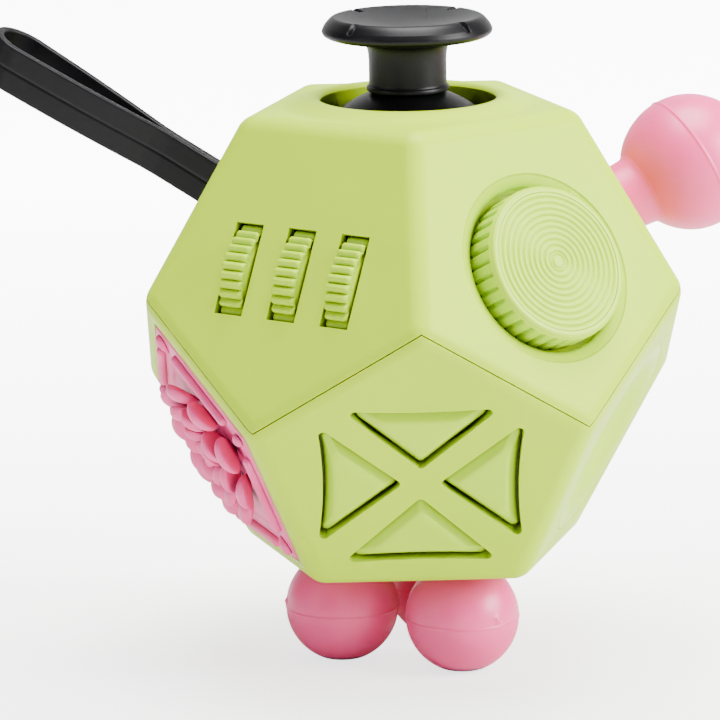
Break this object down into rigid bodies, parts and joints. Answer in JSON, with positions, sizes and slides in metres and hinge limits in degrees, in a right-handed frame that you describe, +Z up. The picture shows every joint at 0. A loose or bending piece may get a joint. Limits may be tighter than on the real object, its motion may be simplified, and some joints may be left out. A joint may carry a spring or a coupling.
{
  "type": "twelve-sided fidget toy",
  "caption": "Rounded dodecahedron desk fidget toy with thumb stick, gear wheels, dial, cross pad, petals, squeeze balls, rocker, slider and strap.",
  "frame": {"origin": "centre of the housing's bottom face, between the three foot balls", "axes": "+Z up through the thumb stick, -Y towards the cross pad that faces the user"},
  "size_m": [0.0898, 0.063, 0.0745],
  "materials": {
    "lime_plastic": "satin moulded ABS",
    "lime_keys": "satin moulded ABS",
    "black_plastic": "satin moulded ABS",
    "black_silicone": "matt silicone",
    "pink_silicone": "soft satin silicone",
    "natural_nylon": "unfilled nylon",
    "steel": "zinc-plated"
  },
  "bodies": {
    "housing": {"upper_shell": "lime_plastic", "lower_shell": "lime_plastic", "joining_pins": "natural_nylon", "stick_housing": "natural_nylon", "stick_spring": "steel", "stick_screws": "steel", "gear_axle": "steel", "gear_frame": "natural_nylon", "gear_screws": "steel", "key_mat": "natural_nylon", "key_plate": "natural_nylon", "key_screws": "steel", "petal_pad": "pink_silicone", "strap_anchor": "black_silicone", "rocker_pin": "steel", "rocker_bezel": "black_plastic", "click_mat": "natural_nylon", "click_plate": "natural_nylon", "click_screws": "steel", "slide_keeper": "natural_nylon", "worry_dish": "lime_plastic"},
    "gimbal": {"gimbal_ring": "natural_nylon", "gimbal_cross_pin": "steel"},
    "stick": {"stick_cap": "black_plastic", "stick_dome": "black_plastic", "stick_post": "natural_nylon"},
    "gear_left": {"gear_left": "lime_plastic"},
    "gear_middle": {"gear_middle": "lime_plastic"},
    "gear_right": {"gear_right": "lime_plastic"},
    "dial": {"dial_knob": "lime_plastic", "dial_washer": "steel", "dial_screw": "steel"},
    "key_top": {"key_top": "lime_keys"},
    "key_left": {"key_left": "lime_keys"},
    "key_right": {"key_right": "lime_keys"},
    "key_bottom": {"key_bottom": "lime_keys"},
    "squeeze_ball": {"squeeze_ball": "pink_silicone"},
    "foot_ball_1": {"foot_ball_1": "pink_silicone"},
    "foot_ball_2": {"foot_ball_2": "pink_silicone"},
    "foot_ball_3": {"foot_ball_3": "pink_silicone"},
    "strap": {"strap_loop": "black_silicone"},
    "rocker": {"rocker": "black_plastic"},
    "slider": {"slide_knob": "pink_silicone"},
    "click_1": {"click_button_1": "pink_silicone"},
    "click_2": {"click_button_2": "pink_silicone"},
    "click_3": {"click_button_3": "pink_silicone"},
    "click_4": {"click_button_4": "pink_silicone"},
    "click_5": {"click_button_5": "pink_silicone"}
  },
  "joints": [
    {"name": "stick_side_tilt", "type": "hinge", "parent": "housing", "child": "gimbal", "pos_m": [0, 0, 0.041], "axis": [1, 0, 0], "range_deg": [-14, 14], "stiffness_Nm_per_rad": 0.05, "deforming": ["stick_spring"]},
    {"name": "stick_cross_tilt", "type": "hinge", "parent": "gimbal", "child": "stick", "pos_m": [0, 0, 0.041], "axis": [0, 1, 0], "range_deg": [-14, 14], "stiffness_Nm_per_rad": 0.05, "deforming": ["stick_spring"]},
    {"name": "gear_left_spin", "type": "hinge", "parent": "housing", "child": "gear_left", "pos_m": [-0.01084, -0.01543, 0.0339], "axis": [0.809, -0.5878, 0], "continuous": true},
    {"name": "gear_middle_spin", "type": "hinge", "parent": "housing", "child": "gear_middle", "pos_m": [-0.01084, -0.01543, 0.0339], "axis": [0.809, -0.5878, 0], "continuous": true},
    {"name": "gear_right_spin", "type": "hinge", "parent": "housing", "child": "gear_right", "pos_m": [-0.01084, -0.01543, 0.0339], "axis": [0.809, -0.5878, 0], "continuous": true},
    {"name": "dial_spin", "type": "hinge", "parent": "housing", "child": "dial", "pos_m": [0.01423, -0.01907, 0.03655], "axis": [0.5257, -0.7236, 0.4472], "continuous": true},
    {"name": "key_top_press", "type": "slide", "parent": "housing", "child": "key_top", "axis": [0, 0.8944, 0.4472], "range_m": [0, 0.0008], "stiffness_N_per_m": 600, "deforming": ["key_mat"]},
    {"name": "key_left_press", "type": "slide", "parent": "housing", "child": "key_left", "axis": [0, 0.8944, 0.4472], "range_m": [0, 0.0008], "stiffness_N_per_m": 600, "deforming": ["key_mat"]},
    {"name": "key_right_press", "type": "slide", "parent": "housing", "child": "key_right", "axis": [0, 0.8944, 0.4472], "range_m": [0, 0.0008], "stiffness_N_per_m": 600, "deforming": ["key_mat"]},
    {"name": "key_bottom_press", "type": "slide", "parent": "housing", "child": "key_bottom", "axis": [0, 0.8944, 0.4472], "range_m": [0, 0.0008], "stiffness_N_per_m": 600, "deforming": ["key_mat"]},
    {"name": "ball_squeeze", "type": "slide", "parent": "housing", "child": "squeeze_ball", "axis": [-0.8507, -0.2764, -0.4472], "range_m": [0, 0.002], "stiffness_N_per_m": 1000},
    {"name": "foot_1_press", "type": "slide", "parent": "housing", "child": "foot_ball_1", "axis": [0, 0, 1], "range_m": [0, 0.001], "stiffness_N_per_m": 1800},
    {"name": "foot_2_press", "type": "slide", "parent": "housing", "child": "foot_ball_2", "axis": [0, 0, 1], "range_m": [0, 0.001], "stiffness_N_per_m": 1800},
    {"name": "foot_3_press", "type": "slide", "parent": "housing", "child": "foot_ball_3", "axis": [0, 0, 1], "range_m": [0, 0.001], "stiffness_N_per_m": 1800},
    {"name": "strap_flex", "type": "hinge", "parent": "housing", "child": "strap", "pos_m": [-0.0219, 0.00712, 0.04165], "axis": [0.4253, -0.1382, 0.8944], "range_deg": [-35, 35], "stiffness_Nm_per_rad": 0.01},
    {"name": "rocker_flip", "type": "hinge", "parent": "housing", "child": "rocker", "pos_m": [0, 0.02191, 0.03696], "axis": [-1, 0, 0], "range_deg": [-9, 9]},
    {"name": "click_1_press", "type": "slide", "parent": "housing", "child": "click_1", "axis": [-0.5257, -0.7236, 0.4472], "range_m": [0, 0.0008], "stiffness_N_per_m": 500, "deforming": ["click_mat"]},
    {"name": "click_2_press", "type": "slide", "parent": "housing", "child": "click_2", "axis": [-0.5257, -0.7236, 0.4472], "range_m": [0, 0.0008], "stiffness_N_per_m": 500, "deforming": ["click_mat"]},
    {"name": "click_3_press", "type": "slide", "parent": "housing", "child": "click_3", "axis": [-0.5257, -0.7236, 0.4472], "range_m": [0, 0.0008], "stiffness_N_per_m": 500, "deforming": ["click_mat"]},
    {"name": "click_4_press", "type": "slide", "parent": "housing", "child": "click_4", "axis": [-0.5257, -0.7236, 0.4472], "range_m": [0, 0.0008], "stiffness_N_per_m": 500, "deforming": ["click_mat"]},
    {"name": "click_5_press", "type": "slide", "parent": "housing", "child": "click_5", "axis": [-0.5257, -0.7236, 0.4472], "range_m": [0, 0.0008], "stiffness_N_per_m": 500, "deforming": ["click_mat"]},
    {"name": "slider_slide", "type": "slide", "parent": "housing", "child": "slider", "axis": [-0.809, -0.5878, 0], "range_m": [-0.005, 0.005]}
  ]
}
